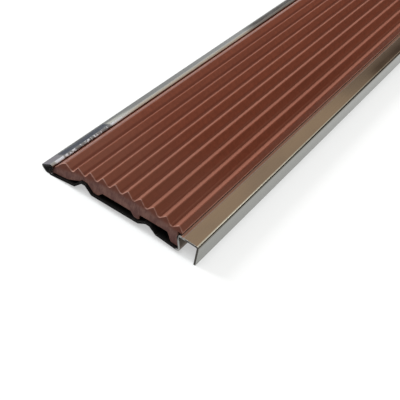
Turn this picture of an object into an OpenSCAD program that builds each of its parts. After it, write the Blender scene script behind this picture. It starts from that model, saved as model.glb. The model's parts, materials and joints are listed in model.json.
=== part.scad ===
// Stair nosing: a roll-formed stainless strip that holds a ribbed rubber tread insert.
// The section is drawn in the step's own axes: X runs from the rear of the tread to its front
// edge with 0 at the middle of the tray, and Y runs up with 0 on the tread. It is extruded
// along the step and laid down as it lies on a level floor, on its heel and the foot of its lip.

/* [Strip] */
// Length of the nosing along the step
length = 1000; // [200:50:3000]
// Thickness of the steel strip
strip_t = 0.7; // [0.5:0.1:1]
// Inside radius of every bend in the strip but the rear fold
bend_r = 0.35; // [0.2:0.05:0.6]

/* [Tray] */
// Width of the tray that holds the insert, heel to toe
tray_w = 51.7; // [49:0.1:60]
// Rise of the middle of the tray above its heel and toe
crown = 1.7; // [0:0.1:2.5]
// Distance of the rear stiffening bead from the middle of the tray
rear_bead_x = 11.6; // [9.5:0.1:13.5]
// Distance of the front stiffening bead from the middle of the tray
front_bead_x = 13.2; // [11:0.1:15]
// Width of a bead at its base
bead_w = 7; // [5.5:0.1:8]
// Width of the land on top of a bead
bead_land = 1.6; // [1:0.1:2.4]
// Height of the rear bead
rear_bead_h = 2.5; // [1.5:0.1:3]
// Height of the front bead
front_bead_h = 1.7; // [1:0.1:2.2]

/* [Front edge] */
// Height of the front flange above the tread, at the tray
flange_h = 6.4; // [5.5:0.1:8]
// How far the top of the front wall leans in over the insert
front_lean = 1.7; // [0.5:0.1:2.5]
// Distance from the tray's toe to the outer face of the lip
flange_w = 5.7; // [5:0.1:12]
// Fall of the flange towards the lip
flange_fall = 0.4; // [0:0.1:1]
// How far the lip reaches below the tread
lip_drop = 1.5; // [0.5:0.1:20]

/* [Rear edge] */
// Height of the rear fold above the tread
rear_h = 4.3; // [3.9:0.1:5.5]
// Inside radius of the rear fold, which is pressed almost shut
fold_r = 0.15; // [0.1:0.05:0.35]
// Slope of the rear wall, which leans in over the insert
rear_wall_angle = 66; // [60:1:72]
// Slope of the ramp that falls from the rear fold to the tread
ramp_angle = 28; // [24:1:32]
// How far the free edge of the ramp reaches behind the heel
ramp_reach = 2.3; // [2:0.1:3.5]

/* [Insert] */
// Height of the rearmost ridge above the rear fold
rear_stand = 3.2; // [2.5:0.1:4.5]
// Height of the foremost ridge above the flange
front_stand = 2.7; // [2.4:0.1:4]
// How much more the line of the ridges is arched than the tray
swell = 0.6; // [0:0.1:1.2]
// Distance of the rearmost ridge in front of the insert's heel
rear_setback = 5.3; // [5:0.1:7]
// Run of the insert's rear shoulder, behind the rearmost ridge
shoulder_w = 1.3; // [0.8:0.1:2]
// Fall of the rear shoulder
shoulder_drop = 0.8; // [0.4:0.1:1.5]
// Largest spacing of the ridges, which are spread evenly over the insert
ridge_pitch = 4.9; // [4:0.1:7]
// Depth of the grooves between the ridges
ridge_depth = 2.2; // [1.5:0.1:2.6]
// Width of the flat floor of each groove
groove_w = 0.8; // [0.4:0.1:1.2]
// Radius on the ridges and in the grooves
ridge_r = 0.4; // [0.1:0.05:0.5]
// How far the insert laps over the flange, from the inside of the front wall
lap = 2.2; // [1.8:0.1:3.5]
// Run of the insert's front flank, from the last ridge down to the flange
nose_run = 1.9; // [1.5:0.1:3]
// Width of the insert's rear foot where it stands on the tray
rear_foot_w = 6.6; // [5:0.1:7.2]
// Width of each middle foot where it stands on the tray
middle_foot_w = 1.8; // [1.5:0.1:4]
// Width of the insert's front foot where it stands on the tray
front_foot_w = 3.4; // [1:0.1:4]
// Spread of each foot from the tray up to the web
foot_draft = 1.5; // [0.5:0.1:2.8]
// How far the insert reaches down the rear side of the rear bead
bead_grip = 0.9; // [0.3:0.1:1.3]
// Gap between the insert and the front bead, which it spans
span_gap = 0.5; // [0.2:0.1:1]
// How far the insert stops short of each end of the strip
end_gap = 0.7; // [0:0.1:3]
// Clearance between the insert and the strip
fit_gap = 0.1; // [0.05:0.05:0.3]

/* [Hidden] */

// Largest turn of one chord of a rounded corner, in degrees
arc_step = 10;

// Unit vector along v, and the vector square to v on its left
function unit(v) = v / norm(v);
function left_of(v) = [-v.y, v.x];

// A line moved sideways by d, to the left of its run, with mitred corners
function beside(line, d) = let(last = len(line) - 1) [
    for (i = [0:last])
        let(into = max(i, 1), out = min(i, last - 1))
        let(before = left_of(unit(line[into] - line[into - 1])))
        let(after = left_of(unit(line[out + 1] - line[out])))
        line[i] + d * (before + after) / (1 + before * after)
];

// Signed turn at corner b of a line from a to c, positive to the left
function turn_at(a, b, c) = let(u = b - a, v = c - b) atan2(cross(u, v), u * v);

// The chords of the arc of radius r that rounds corner b
function round_corner(a, b, c, r) =
    let(turn = turn_at(a, b, c), steps = ceil(abs(turn) / arc_step))
    r == 0 || abs(turn) < arc_step ? [b] :
    let(u = unit(b - a), inward = sign(turn) * left_of(u))
    let(centre = b - u * r * tan(abs(turn) / 2) + r * inward)
    [for (i = [0:steps])
        let(s = turn * i / steps)
        centre - r * (inward * cos(s) + left_of(inward) * sin(s))];

// A closed outline with each corner rounded by its own radius
function rounded(outline, radii) = let(n = len(outline)) [
    for (i = [0:n - 1])
        each round_corner(outline[(i + n - 1) % n], outline[i], outline[(i + 1) % n], radii[i])
];

// Points of the line through a and b at a given x and at a given y
function at_x(a, b, x) = a + (b - a) * (x - a.x) / (b.x - a.x);
function at_y(a, b, y) = a + (b - a) * (y - a.y) / (b.y - a.y);

function reversed(list) = [for (i = [len(list) - 1:-1:0]) list[i]];

// The middle line of the tray, arched between heel and toe, with its two beads
half_t = strip_t / 2;
half_w = tray_w / 2;
function arch(x) = crown * (1 - pow(x / half_w, 2));
function on_tray(x) = [x, arch(x) + half_t];
function bead(x, h) = [
    on_tray(x - bead_w / 2),
    on_tray(x) + [-bead_land / 2, h],
    on_tray(x) + [bead_land / 2, h],
    on_tray(x + bead_w / 2),
];
heel = [half_t - half_w, half_t];
toe = [half_w - half_t, half_t];

// The rear fold: its straight legs would meet at rear_fold, and the bend between them tops out at rear_h
mid_r = bend_r + half_t;
outer_r = bend_r + strip_t;
fold_mid_r = fold_r + half_t;
rear_wall = [cos(rear_wall_angle), sin(rear_wall_angle)];
rear_wall_flat = (rear_h - fold_r - strip_t - heel.y - fold_mid_r * rear_wall.x) / rear_wall.y;
rear_fold = heel + (rear_wall_flat + fold_mid_r / tan((rear_wall_angle - ramp_angle) / 2)) * rear_wall;
ramp_edge_x = -half_w - ramp_reach;
ramp_edge = [ramp_edge_x, rear_fold.y - (rear_fold.x - ramp_edge_x) * tan(ramp_angle)];

// The front wall, flange and lip
wall_top = [toe.x - front_lean, flange_h - half_t];
lip_x = half_w + flange_w - half_t;
lip_top = [lip_x, wall_top.y - flange_fall];
lip_foot = [lip_x, -lip_drop];

// The strip's middle line from the ramp's free edge to the foot of the lip, and its outline,
// with the inside radius on the hollow side of each bend and the outside radius on the other
middle_line = concat(
    [ramp_edge, rear_fold, heel], bead(-rear_bead_x, rear_bead_h), bead(front_bead_x, front_bead_h),
    [toe, wall_top, lip_top, lip_foot]);
upper_face = beside(middle_line, half_t);
lower_face = beside(middle_line, -half_t);
function face_radii(hollow_turn) = concat([0], [
    for (i = [1:len(middle_line) - 2])
        let(inside_r = middle_line[i] == rear_fold ? fold_r : bend_r)
        let(turn = turn_at(middle_line[i - 1], middle_line[i], middle_line[i + 1]))
        sign(turn) == hollow_turn ? inside_r : inside_r + strip_t
], [0]);
strip_outline = rounded(
    concat(lower_face, reversed(upper_face)), concat(face_radii(-1), reversed(face_radii(1))));

// Where the insert seats in the strip: the strip's upper face, moved by the clearance
seat = beside(middle_line, half_t + fit_gap);
seat_heel = seat[2];
rear_bead_seat = [for (i = [3:6]) seat[i]];
front_bead_seat = [for (i = [7:10]) seat[i]];
seat_toe = seat[11];
seat_wall_top = seat[12];
seat_lip_top = seat[13];

// The underside of the insert: it stands on the tray on four feet, grips the rear bead, spans the
// front one, and is hollow between the feet
function on_middle(x) = at_x(rear_bead_seat[3], front_bead_seat[0], x);
middle_hollow = [0, rear_bead_h - bead_grip];
front_hollow_y = front_bead_seat[1].y + span_gap;
front_foot = at_x(front_bead_seat[3], seat_toe, seat_toe.x - front_foot_w);
front_middle_foot = on_middle(front_bead_seat[0].x - middle_foot_w);
rear_middle_foot = on_middle(rear_bead_seat[3].x + middle_foot_w);
rear_foot = at_x(seat_heel, rear_bead_seat[0], seat_heel.x + rear_foot_w);
underside = [
    seat_toe, front_foot, [front_foot.x - foot_draft, front_hollow_y],
    [front_bead_seat[0].x, front_hollow_y], front_bead_seat[0],
    front_middle_foot, on_middle(front_middle_foot.x - foot_draft) + middle_hollow,
    on_middle(rear_middle_foot.x + foot_draft) + middle_hollow, rear_middle_foot,
    rear_bead_seat[3], rear_bead_seat[2], rear_bead_seat[1],
    at_y(rear_bead_seat[0], rear_bead_seat[1], rear_bead_seat[1].y - bead_grip),
    rear_foot, seat_heel,
];

// The ridged top of the insert, from its rear shoulder to the lap over the flange. The line of the
// ridges is arched like the tray, and each groove's floor lies square below the middle of the line
// between its two ridges.
lap_edge = at_x(seat_wall_top, seat_lip_top, seat_wall_top.x + lap);
rear_ridge_h = rear_h + rear_stand;
front_ridge_h = flange_h + front_stand;
first_x = seat_heel.x + rear_setback;
last_x = lap_edge.x - nose_run;
ridge_gaps = ceil((last_x - first_x) / ridge_pitch);
spacing = (last_x - first_x) / ridge_gaps;
function ridge(i) =
    let(along = i / ridge_gaps)
    let(rise = (crown + swell) * (1 - pow(2 * along - 1, 2)))
    [first_x + i * spacing, rear_ridge_h + along * (front_ridge_h - rear_ridge_h) + rise];
function groove(i) =
    let(a = ridge(i), b = ridge(i + 1), run = unit(b - a))
    let(floor_middle = (a + b) / 2 - ridge_depth * left_of(run))
    [floor_middle - run * groove_w / 2, floor_middle + run * groove_w / 2];
ridged_top = concat(
    [for (i = [0:ridge_gaps - 1]) each concat([ridge(i)], groove(i))], [ridge(ridge_gaps)]);

// The rear of the insert: it leans on the rear wall up to the fold, and slopes on up to its shoulder
shoulder = ridge(0) - [shoulder_w, shoulder_drop];
rear_face = [seat_heel + rear_wall_flat * rear_wall, shoulder];

// The insert's outline, with its ridges and feet rounded
foot_r = bend_r + fit_gap;
insert_outline = rounded(
    concat(ridged_top, [lap_edge, seat_wall_top], underside, rear_face),
    concat([for (p = ridged_top) ridge_r], [ridge_r, 0], [for (p = concat(underside, rear_face)) foot_r]));

// How the nosing lies: it rolls about its rounded heel until the foot of the lip is down too
heel_centre = beside(middle_line, mid_r)[2];
to_foot = lower_face[len(lower_face) - 1] - heel_centre;
lie_tilt = atan2(-to_foot.y, to_foot.x) - asin(outer_r / norm(to_foot));
lying_outline = [for (p = strip_outline) p * cos(lie_tilt) + left_of(p) * sin(lie_tilt)];
lying_x = [for (p = lying_outline) p.x];
lying_z = [for (p = lying_outline) p.y];

// Extrudes a section along the step and lays it down, with the origin on the floor below its middle
module laid_down(run) {
    translate([-(min(lying_x) + max(lying_x)) / 2, 0, -min(lying_z)])
        rotate([0, -lie_tilt, 0])
            rotate([90, 0, 0])
                linear_extrude(run, center = true)
                    children();
}

// The roll-formed strip: ramp, rear fold, beaded tray, front wall, flange and lip
module steel_strip() {
    color("silver") laid_down(length) polygon(strip_outline);
}

// The extruded tread: ridges above, feet and hollows below, cut a little shorter than the strip
module rubber_insert() {
    color("sienna") laid_down(length - 2 * end_gap) polygon(insert_outline);
}

steel_strip();
rubber_insert();
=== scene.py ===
import json
from math import radians

import bpy
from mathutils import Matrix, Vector

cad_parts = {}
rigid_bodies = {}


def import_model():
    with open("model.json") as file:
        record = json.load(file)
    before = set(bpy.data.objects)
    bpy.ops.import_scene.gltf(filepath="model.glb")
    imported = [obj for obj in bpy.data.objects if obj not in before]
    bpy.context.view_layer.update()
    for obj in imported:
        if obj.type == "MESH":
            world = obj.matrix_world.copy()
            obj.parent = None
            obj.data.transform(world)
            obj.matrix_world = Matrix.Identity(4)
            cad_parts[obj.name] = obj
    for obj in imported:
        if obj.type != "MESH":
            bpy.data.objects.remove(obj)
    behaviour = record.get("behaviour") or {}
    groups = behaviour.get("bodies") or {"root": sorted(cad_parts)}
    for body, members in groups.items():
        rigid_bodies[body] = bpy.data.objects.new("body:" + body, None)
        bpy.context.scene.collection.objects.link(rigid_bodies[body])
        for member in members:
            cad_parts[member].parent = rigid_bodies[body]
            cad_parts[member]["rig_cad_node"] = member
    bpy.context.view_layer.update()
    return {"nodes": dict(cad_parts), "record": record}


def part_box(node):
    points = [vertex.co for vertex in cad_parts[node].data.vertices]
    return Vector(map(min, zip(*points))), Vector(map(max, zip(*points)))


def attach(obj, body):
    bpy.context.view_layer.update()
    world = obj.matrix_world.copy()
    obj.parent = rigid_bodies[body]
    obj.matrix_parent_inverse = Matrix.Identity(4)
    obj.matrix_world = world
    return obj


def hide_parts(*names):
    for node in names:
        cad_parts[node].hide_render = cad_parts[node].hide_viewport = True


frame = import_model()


# The strip: one length of bright cold-rolled stainless steel, 0.7 mm thick, roll-formed into the
# ramp, the tray, the flange and the lip, and sheared off at both ends, where its edges are painted dark
# as shade. A dark sheet painted over the ramp stands in for its dark reflections, and the bend of the lip
# has a painted highlight.

class Value:
    """One output of a shader node, to be used in sums like a number."""

    def __init__(self, socket):
        self.socket = socket

    def node(self, kind, settings, inputs, output=0):
        """Adds a node beside this one, sets it up, feeds its sockets and gives one of its outputs."""
        tree = self.socket.id_data
        added = tree.nodes.new(kind)
        for name, setting in settings.items():
            setattr(added, name, setting)
        for name, value in inputs.items():
            if isinstance(value, Value):
                tree.links.new(value.socket, added.inputs[name])
            else:
                added.inputs[name].default_value = value
        return Value(added.outputs[output])

    def maths(self, operation, first, second):
        return self.node("ShaderNodeMath", {"operation": operation}, {0: first, 1: second})

    def __add__(self, other):
        return self.maths("ADD", self, other)

    __radd__ = __add__

    def __sub__(self, other):
        return self.maths("SUBTRACT", self, other)

    def __rsub__(self, other):
        return self.maths("SUBTRACT", other, self)

    def __mul__(self, other):
        return self.maths("MULTIPLY", self, other)

    __rmul__ = __mul__

    def __abs__(self):
        return self.maths("ABSOLUTE", self, 0.0)

    def axis(self, index):
        """One of the three coordinates of a place or a direction."""
        return self.node("ShaderNodeSeparateXYZ", {}, {0: self}, index)

    def step(self, low, high):
        """A smooth rise from 0 where this is low to 1 where it is high."""
        settings = {"interpolation_type": "SMOOTHSTEP"}
        return self.node("ShaderNodeMapRange", settings, {0: self, 1: low, 2: high})

    def between(self, start, stop):
        """A band with two soft edges: it rises over the first pair of places and falls over the second."""
        return self.step(*start) * (1 - self.step(*stop))

    def ranging(self, low, high):
        """This mask, made to run from low to high instead of from 0 to 1."""
        return self * (high - low) + low

    def noise(self, size, detail, stretch=(1, 1, 1)):
        """Noise with blobs of about a size in metres, drawn out along each axis by a factor."""
        pulled = self.node(
            "ShaderNodeVectorMath",
            {"operation": "MULTIPLY"},
            {0: self, 1: [1 / factor for factor in stretch]},
        )
        return pulled.node("ShaderNodeTexNoise", {}, {"Vector": pulled, "Scale": 1 / size, "Detail": detail})

    def tint(self, colour, other):
        """A colour that turns into the other one as this goes from 0 to 1."""
        return self.node("ShaderNodeMix", {"data_type": "RGBA"}, {0: self, 6: colour, 7: other}, 2)

    def bump(self):
        """The way a face looks with this relief on it, a height in metres."""
        return self.node("ShaderNodeBump", {}, {"Height": self, "Distance": 1.0})


def new_finish(name):
    """A new material: its surface shader, the place on the piece and the way the face looks."""
    finish = bpy.data.materials.new(name)
    finish.use_nodes = True
    nodes = finish.node_tree.nodes
    on_piece = nodes.new("ShaderNodeTexCoord")
    return (
        finish,
        nodes["Principled BSDF"],
        Value(on_piece.outputs["Object"]),
        Value(on_piece.outputs["Normal"]),
    )


def feed(surface, **values):
    """Links or sets the surface shader's sockets, each named with _ for a space."""
    tree = surface.id_data
    for name, value in values.items():
        socket = surface.inputs[name.replace("_", " ")]
        if isinstance(value, Value):
            tree.links.new(value.socket, socket)
        else:
            socket.default_value = value


weld_reach = 1e-6
flat_angle = radians(0.5)
bend_angle = radians(30)
end_facing = 0.5


def dressed_copy(node, name, end_round):
    """A copy of a solid, welded into whole faces, with the edges of its cut ends taken off."""
    bpy.ops.object.select_all(action="DESELECT")
    solid = frame["nodes"][node]
    solid.select_set(True)
    bpy.context.view_layer.objects.active = solid
    bpy.ops.object.duplicate()
    piece = bpy.context.object
    piece.name = name
    piece.data.name = name
    del piece["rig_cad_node"]
    piece.data.materials.clear()
    bpy.ops.object.mode_set(mode="EDIT")
    bpy.ops.mesh.select_all(action="SELECT")
    bpy.ops.mesh.remove_doubles(threshold=weld_reach)
    bpy.ops.mesh.dissolve_limited(angle_limit=flat_angle)
    bpy.ops.mesh.select_all(action="DESELECT")
    bpy.ops.mesh.select_mode(type="FACE")
    bpy.ops.object.mode_set(mode="OBJECT")
    for face in piece.data.polygons:
        face.select = abs(face.normal.y) > end_facing
    bpy.ops.object.mode_set(mode="EDIT")
    bpy.ops.mesh.region_to_loop()
    bpy.ops.mesh.bevel(offset=end_round, segments=3, affect="EDGES", clamp_overlap=False)
    bpy.ops.object.mode_set(mode="OBJECT")
    bpy.ops.object.shade_smooth_by_angle(angle=bend_angle)
    bpy.ops.object.modifier_add(type="WEIGHTED_NORMAL")
    piece.modifiers[-1].keep_sharp = True
    bpy.ops.object.modifier_apply(modifier=piece.modifiers[-1].name)
    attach(piece, "root")
    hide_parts(node)
    return piece


burr_round = 0.00006
strip = dressed_copy("steel_strip", "nosing_strip", burr_round)

# Places across the strip are metres from the middle of its width, and the rear is negative.
steel, steel_surface, on_strip, strip_facing = new_finish("rolled_stainless")
across_strip = on_strip.axis(0)
near_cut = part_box("steel_strip")[0][1]
from_end = on_strip.axis(1) - near_cut

# The sheet has fine lines and a slow wave along it from rolling, and faint smudges.
bright_steel = (0.47, 0.465, 0.45, 1)
dull_steel = (0.4, 0.4, 0.4, 1)
line_depth = 6e-7
wave_depth = 6e-5
rolled_lines = on_strip.noise(size=0.00025, detail=3, stretch=(1, 150, 1))
wave = on_strip.noise(size=0.012, detail=1, stretch=(1, 4, 1))
rolled_relief = rolled_lines * line_depth + wave * wave_depth
smudge = on_strip.noise(size=0.02, detail=4, stretch=(1, 2.5, 1)).step(0.4, 0.7)
plain_steel = smudge.tint(bright_steel, dull_steel)

# The bend of the lip has a painted highlight, further round it by the near end; the rest of the bend has
# painted shade, and the lip's face is a darker copy of the steel, painted shade too.
painted_highlight_steel = (0.74, 0.71, 0.63, 1)
shaded_steel = (0.18, 0.175, 0.15, 1)
lip_steel = (0.265, 0.265, 0.243, 1)
end_highlight_turn = 0.22
turning = strip_facing.axis(0) * across_strip.step(0.027, 0.0275)
on_bend = turning.step(0.08, 0.2)
past_highlight = turning - (1 - from_end.step(0.006, 0.028)) * end_highlight_turn
painted_highlight = on_bend * (1 - past_highlight.step(0.5, 0.6))
bend_steel = painted_highlight.tint(plain_steel, painted_highlight_steel)
lip_side = turning.step(0.95, 1.0).tint(shaded_steel, lip_steel)
front_steel = past_highlight.step(0.5, 0.65).tint(bend_steel, lip_side)

# The flange has a painted dark reflection on it and dust along the insert, and the front wall below it has
# painted shade.
dark_reflection_steel = (0.25, 0.235, 0.22, 1)
shade_below_flange_steel = (0.2, 0.165, 0.135, 1)
dust_brown = (0.24, 0.12, 0.08, 1)
dark_reflection_run = from_end.between(start=(0.124, 0.138), stop=(0.156, 0.176))
dark_reflection = dark_reflection_run * across_strip.step(0.0245, 0.0275) * (1 - on_bend)
below_flange = strip_facing.axis(0).step(0.6, 0.8) * (1 - across_strip.step(0.0255, 0.026))
painted_front_steel = below_flange.tint(dark_reflection.tint(front_steel, dark_reflection_steel), shade_below_flange_steel)
lap_line = across_strip.between(start=(0.0233, 0.0235), stop=(0.0239, 0.0245))
lap_dust = lap_line * on_strip.axis(2).step(0.0069, 0.0071)

# The ramp is painted dark as a reflection, violet by the near end, with painted pale reflections past the
# dark sheet and along a band, and a painted highlight along the fold.
dark_reflection_ramp_steel = (0.072, 0.075, 0.072, 1)
violet_steel = (0.095, 0.087, 0.107, 1)
pale_reflection_steel = (0.32, 0.32, 0.285, 1)
band_reflection = 0.5
fold_highlight = 0.8
ramp = 1 - across_strip.step(-0.0272, -0.0264)
inner_ramp = across_strip.between(start=(-0.0288, -0.0276), stop=(-0.0258, -0.0254))
fold = across_strip.between(start=(-0.0268, -0.0264), stop=(-0.0258, -0.0255))
bare_run = from_end.between(start=(0.03, 0.032), stop=(0.118, 0.128))
pale_reflection_patch = inner_ramp * from_end.between(start=(0.0298, 0.0304), stop=(0.0304, 0.046))
pale_reflection_band = bare_run * across_strip.step(-0.0275, -0.0268)
ramp_reflection = from_end.step(0.004, 0.009).tint(violet_steel, dark_reflection_ramp_steel)
ramp_steel = (pale_reflection_patch + pale_reflection_band * band_reflection).tint(ramp_reflection, pale_reflection_steel)
bare_steel = (fold * bare_run * fold_highlight).tint(painted_front_steel, painted_highlight_steel)
open_steel = ramp.tint(lap_dust.tint(bare_steel, dust_brown), ramp_steel)

# The tray below the insert has painted shade, and so have the sheared ends, but for the edge of the front
# wall, which is painted pale as a reflection.
tray_shade_steel = (0.03, 0.029, 0.028, 1)
sheared_steel = (0.3, 0.3, 0.29, 1)
cut_shade_steel = (0.008, 0.007, 0.007, 1)
lip_cut_shade_steel = (0.06, 0.055, 0.05, 1)
covered = across_strip.between(start=(-0.0256, -0.0252), stop=(0.0226, 0.0231))
sheared = abs(strip_facing.axis(1)).step(0.6, 0.8)
tray_edge = across_strip.step(0.0222, 0.0226).tint(cut_shade_steel, sheared_steel)
cut_edge = across_strip.step(0.0243, 0.0253).tint(tray_edge, lip_cut_shade_steel)
cut_steel = sheared.tint(covered.tint(open_steel, tray_shade_steel), cut_edge)

# A dark sheet painted over the ramp near the end and again further on stands in for dark reflections there,
# with painted glints along the fold.
dark_sheet_colour = (0.03, 0.036, 0.052, 1)
far_sheet_colour = (0.036, 0.031, 0.028, 1)
glint_colour = (0.72, 0.74, 0.8, 1)
near_fold_sheet = 0.4
far_fold_sheet = 0.35
near_run = from_end.between(start=(0.0058, 0.0072), stop=(0.0294, 0.03))
far_run = from_end.between(start=(0.12, 0.132), stop=(0.2, 0.24))
first_glint = from_end.between(start=(0.0016, 0.0024), stop=(0.0056, 0.0063))
lumps = on_strip.noise(size=0.0011, detail=1, stretch=(1, 0.9, 1)).step(0.48, 0.6)
painted_glints = fold * (near_run * lumps + first_glint + pale_reflection_patch * lumps.ranging(0.6, 1.0))
slope = across_strip.between(start=(-0.0299, -0.0286), stop=(-0.0269, -0.0264))
streaks = on_strip.noise(size=0.0012, detail=4, stretch=(0.5, 6, 0.5)).step(0.3, 0.6)
near_dark_sheet = near_run * (slope * streaks.ranging(0.53, 0.98) + fold * (1 - painted_glints) * near_fold_sheet)
far_dark_sheet = far_run * (slope * streaks.ranging(0.75, 0.95) + fold * far_fold_sheet)

ramp_grime = 0.5
glint_metal_cut = 0.4
dust_cover = 0.8
mill_roughness = 0.1
line_roughness = 0.08
smudge_roughness = 0.06
dull_roughness = 0.3
rolled_roughness = mill_roughness + rolled_lines * line_roughness + smudge * smudge_roughness
feed(
    steel_surface,
    Base_Color=painted_glints.tint(cut_steel, glint_colour),
    Metallic=1 - ramp * ramp_grime - painted_glints * glint_metal_cut - lap_dust * dust_cover,
    Specular_IOR_Level=0.2,
    Roughness=rolled_roughness + (sheared + covered + fold + lap_dust) * dull_roughness,
    Normal=rolled_relief.bump(),
)
bare_skin = Value(steel_surface.outputs[0])
dark_sheet_skin = bare_skin.node(
    "ShaderNodeBsdfPrincipled",
    {},
    {
        "Base Color": from_end.step(0.06, 0.08).tint(dark_sheet_colour, far_sheet_colour),
        "Roughness": 0.6,
        "Specular IOR Level": 0.1,
    },
)
whole_skin = bare_skin.node("ShaderNodeMixShader", {}, {0: near_dark_sheet + far_dark_sheet, 1: bare_skin, 2: dark_sheet_skin})
feed(steel.node_tree.nodes["Material Output"], Surface=whole_skin)
strip.data.materials.append(steel)


# The insert: one extruded length of reddish brown rubber, pressed into the tray between the two
# walls that lean in over it, and sawn off at both ends. The rear flanks of its ridges carry a painted
# pale sheen, its grooves have painted shade, and the lower edge that laps over the flange is painted pale
# against its shade.

saw_round = 0.00022
insert = dressed_copy("rubber_insert", "tread_insert", saw_round)

# Places across the ridges are metres forwards, square to the inner face of the lip.
rubber, rubber_surface, on_insert, insert_facing = new_finish("brown_rubber")
lip_face = next(mount for mount in frame["record"]["mounts"] if mount["name"] == "riser_stop")
forwards = -Vector(lip_face["axis"])
across = on_insert.node(
    "ShaderNodeVectorMath",
    {"operation": "DOT_PRODUCT"},
    {0: on_insert, 1: forwards},
    "Value",
)
insert_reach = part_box("rubber_insert")[1][1]
from_cut = insert_reach - abs(on_insert.axis(1))

# The rubber is mottled along its length and finely speckled, and goes chalky towards its ends.
red_brown = (0.2, 0.0515, 0.0255, 1)
dark_brown = (0.16, 0.0395, 0.019, 1)
chalky_brown = (0.185, 0.066, 0.041, 1)
speckle_share = 0.55
end_chalk = 0.6
mottle = on_insert.noise(size=0.012, detail=4, stretch=(1, 6, 1))
speckle = on_insert.noise(size=0.0013, detail=3)
blend = mottle * (1 - speckle_share) + speckle * speckle_share
plain_colour = blend.step(0.35, 0.65).tint(red_brown, dark_brown)
chalk = (1 - from_cut.step(0.012, 0.045)) * end_chalk
body_colour = chalk.tint(plain_colour, chalky_brown)

# The rear flanks of the ridges and the crest of the rear shoulder carry a painted pale sheen, weaker at the
# front.
rear_ridge = -0.021056
ridge_pitch = 0.004773
past_rear = across - rear_ridge


def ridge_band(shift, inner, outer):
    """A mask along every ridge, moved forwards by a shift: 1 within the inner reach, 0 past the outer."""
    reach = across.maths("PINGPONG", past_rear - shift, ridge_pitch / 2)
    return 1 - reach.step(inner, outer)


sheen_brown = (0.32, 0.14, 0.1, 1)
groove_brown = (0.1, 0.022, 0.01, 1)
crest_behind = 0.00135
crest_sheen = 0.8
front_fade = 0.35
rear_flanks = ridge_band(shift=-0.0011, inner=0.0006, outer=0.0011) * past_rear.step(0.001, 0.002)
shoulder_crest = 1 - abs(past_rear + crest_behind).step(0.0001, 0.0004)
patchy = on_insert.noise(size=0.003, detail=3, stretch=(1, 8, 1)).step(0.1, 0.5).ranging(0.58, 0.88)
front_fading = 1 - across.step(0.004, 0.014) * front_fade
painted_sheen = (rear_flanks + shoulder_crest * crest_sheen) * patchy * front_fading

# The grooves and the front of the rear shoulder are darker, as painted shade.
shoulder_front_behind = 0.0005
groove_dark = 0.75
shoulder_dark = 0.7
grooves = ridge_band(shift=0.0024, inner=0.0003, outer=0.0009)
shoulder_front = 1 - abs(past_rear + shoulder_front_behind).step(0.0002, 0.0006)
painted_groove_shade = grooves * groove_dark + shoulder_front * shoulder_dark
worn_colour = painted_sheen.tint(painted_groove_shade.tint(body_colour, groove_brown), sheen_brown)

# The lower edge of the lap is painted pale, as painted light against its shade.
lap_light_brown = (0.6, 0.28, 0.2, 1)
lap_edge = on_insert.axis(0).step(0.0226, 0.023) * (1 - on_insert.axis(2).step(0.0082, 0.0086))
long_colour = lap_edge.tint(worn_colour, lap_light_brown)

# The sawn ends are brown in the ridges and plum in the web below their arch, with a painted pale highlight
# along the rim.
sawn_brown = (0.19, 0.092, 0.073, 1)
sawn_plum = (0.11, 0.046, 0.039, 1)
tooth_brown = (0.125, 0.033, 0.018, 1)
rim_highlight_brown = (0.38, 0.22, 0.18, 1)
mark_share = 0.4
arch_middle = 0.0068
arch_top = 0.0115
arch_fall = 5.0
ragged_depth = 0.0016
rim_highlight_share = 0.7
sawn = abs(insert_facing.axis(1)).step(0.8, 0.97)
saw_marks = on_insert.noise(size=0.0005, detail=3, stretch=(1, 1, 4))
blotches = on_insert.noise(size=0.0025, detail=4) * (1 - mark_share) + saw_marks * mark_share
web_colour = blotches.step(0.36, 0.62).tint(sawn_brown, sawn_plum)
off_middle = on_insert.axis(0) - arch_middle
below_arch = arch_top - off_middle * off_middle * arch_fall - on_insert.axis(2)
tooth_depth = below_arch + on_insert.noise(size=0.0015, detail=3, stretch=(1, 1, 3)) * ragged_depth
sawn_colour = tooth_depth.step(0.0026, 0.0046).tint(tooth_brown, web_colour)
rim = (1 - from_cut.step(0.0002, 0.0005)) * (1 - sawn)
rim_highlight = rim * on_insert.noise(size=0.0009, detail=3).step(0.2, 0.65)

# The die leaves fine lines along the rubber, and the saw leaves deeper marks on its ends.
die_depth = 4e-6
grain_depth = 6e-6
saw_depth = 5e-5
drawn_lines = on_insert.noise(size=0.0005, detail=3, stretch=(1, 120, 1))
grain = on_insert.noise(size=0.0004, detail=2)
rubber_relief = drawn_lines * die_depth + grain * grain_depth + sawn * saw_marks * saw_depth

rubber_roughness = 0.36
mottle_roughness = 0.1
sawn_roughness = 0.35
feed(
    rubber_surface,
    Base_Color=(rim_highlight * rim_highlight_share).tint(sawn.tint(long_colour, sawn_colour), rim_highlight_brown),
    Roughness=rubber_roughness + mottle * mottle_roughness + sawn * sawn_roughness,
    Specular_IOR_Level=0.3,
    Normal=rubber_relief.bump(),
)
insert.data.materials.append(rubber)


# The floor: plain white paper that the nosing lies on, wide enough to fill the view. It glows to
# the eye and in reflections, and has a painted shadow in the narrow gap under the ramp at the cut ends.

bpy.ops.mesh.primitive_plane_add(size=6)
floor = bpy.context.object
floor.name = "floor"
paper, paper_surface, on_floor, _ = new_finish("white_paper")
paper_white = (0.5, 0.5, 0.5, 1)
gap_shadow_colour = (0.01, 0.01, 0.01, 1)
paper_glow = (0.45, 0.45, 0.45, 1)
no_glow = (0, 0, 0, 1)
toe_taper = 0.3
mouth_slant = 2.3


def ray(kind):
    """1 where light is followed back as one kind of ray."""
    return on_floor.node("ShaderNodeLightPath", {}, {}, kind)


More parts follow.
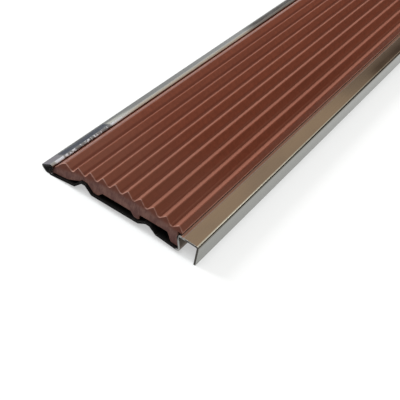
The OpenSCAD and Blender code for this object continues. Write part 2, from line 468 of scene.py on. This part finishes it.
seen = ray("Is Camera Ray") + ray("Is Glossy Ray") + ray("Is Transmission Ray")
across_floor = on_floor.axis(0)
strip_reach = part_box("steel_strip")[1][1]
inside_end = strip_reach - abs(on_floor.axis(1))
before_wall = 1 - across_floor.step(-0.0262, -0.0257)
behind_toe = (across_floor - inside_end * toe_taper).step(-0.0316, -0.0309)
past_mouth = (across_floor + inside_end * mouth_slant).step(-0.0279, -0.0273)
gap_run = inside_end.between(start=(0.0, 0.0004), stop=(0.005, 0.007))
under_ramp = behind_toe * before_wall * past_mouth * gap_run
feed(
    paper_surface,
    Base_Color=under_ramp.tint(paper_white, gap_shadow_colour),
    Roughness=0.9,
    Specular_IOR_Level=0.1,
    Emission_Color=(seen * (1 - under_ramp)).tint(no_glow, paper_glow),
    Emission_Strength=1.0,
)
floor.data.materials.append(paper)


# The light: a large cool soft box overhead, a smaller one on the left and a weak warm one far off,
# whose reflection runs along the bend of the lip. The room has a pale left wall, dim walls that
# turn warm at the far end, and a pale ceiling that is warm over the far left.

near_end = Vector((0, -0.42, 0))


def soft_box(name, place, size, colour, power):
    """A round lamp, turned to the near end of the nosing."""
    bpy.ops.object.light_add(type="AREA", location=place)
    lamp = bpy.context.object
    lamp.name = name
    lamp.data.shape = "DISK"
    lamp.data.size = size
    lamp.data.color = colour
    lamp.data.energy = power
    lamp.rotation_euler = (near_end - Vector(place)).to_track_quat("-Z", "Y").to_euler()


soft_box("overhead_soft_box", place=(0.1, -1.1, 2.3), size=2.2, colour=(0.9, 0.96, 1), power=36)
soft_box("left_soft_box", place=(-1.7, -0.7, 1.0), size=0.7, colour=(1, 1, 1), power=25)
soft_box("edge_soft_box", place=(0.63, 0.6, 0.9), size=0.25, colour=(1, 0.95, 0.85), power=0.2)

room = bpy.context.scene.world or bpy.data.worlds.new("room")
bpy.context.scene.world = room
room.use_nodes = True
looking = Value(room.node_tree.nodes.new("ShaderNodeTexCoord").outputs["Generated"])
dim_wall = (0.06, 0.05, 0.04, 1)
warm_wall = (0.3, 0.2, 0.15, 1)
pale_wall = (0.6, 0.6, 0.58, 1)
pale_ceiling = (0.52, 0.51, 0.47, 1)
warm_ceiling = (0.54, 0.38, 0.25, 1)
far_left = looking.axis(1).step(0.1, 0.4) * (1 - looking.axis(0).step(-0.05, 0.1))
ceiling = far_left.tint(pale_ceiling, warm_ceiling)
walls = looking.axis(1).step(0.868, 0.885).tint(dim_wall, warm_wall)
right_side = looking.axis(2).step(0.495, 0.53).tint(walls, ceiling)
all_round = looking.axis(0).step(-0.45, -0.3).tint(pale_wall, right_side)
feed(room.node_tree.nodes["Background"], Color=all_round, Strength=1.0)


# The camera: a long lens above the lip's side of the near end, looking back along the strip and
# turned a little, so that the strip runs up to the right as in the photograph.

camera_place = (0.09385, -0.65089, 0.17166)
camera_turn = (47.419, -10.567, 33.684)
bpy.ops.object.camera_add(location=camera_place, rotation=[radians(angle) for angle in camera_turn])
camera = bpy.context.object
camera.data.sensor_width = 36
camera.data.lens = 72
camera.data.clip_start = 0.01
bpy.context.scene.camera = camera
bpy.context.scene.view_settings.view_transform = "Standard"
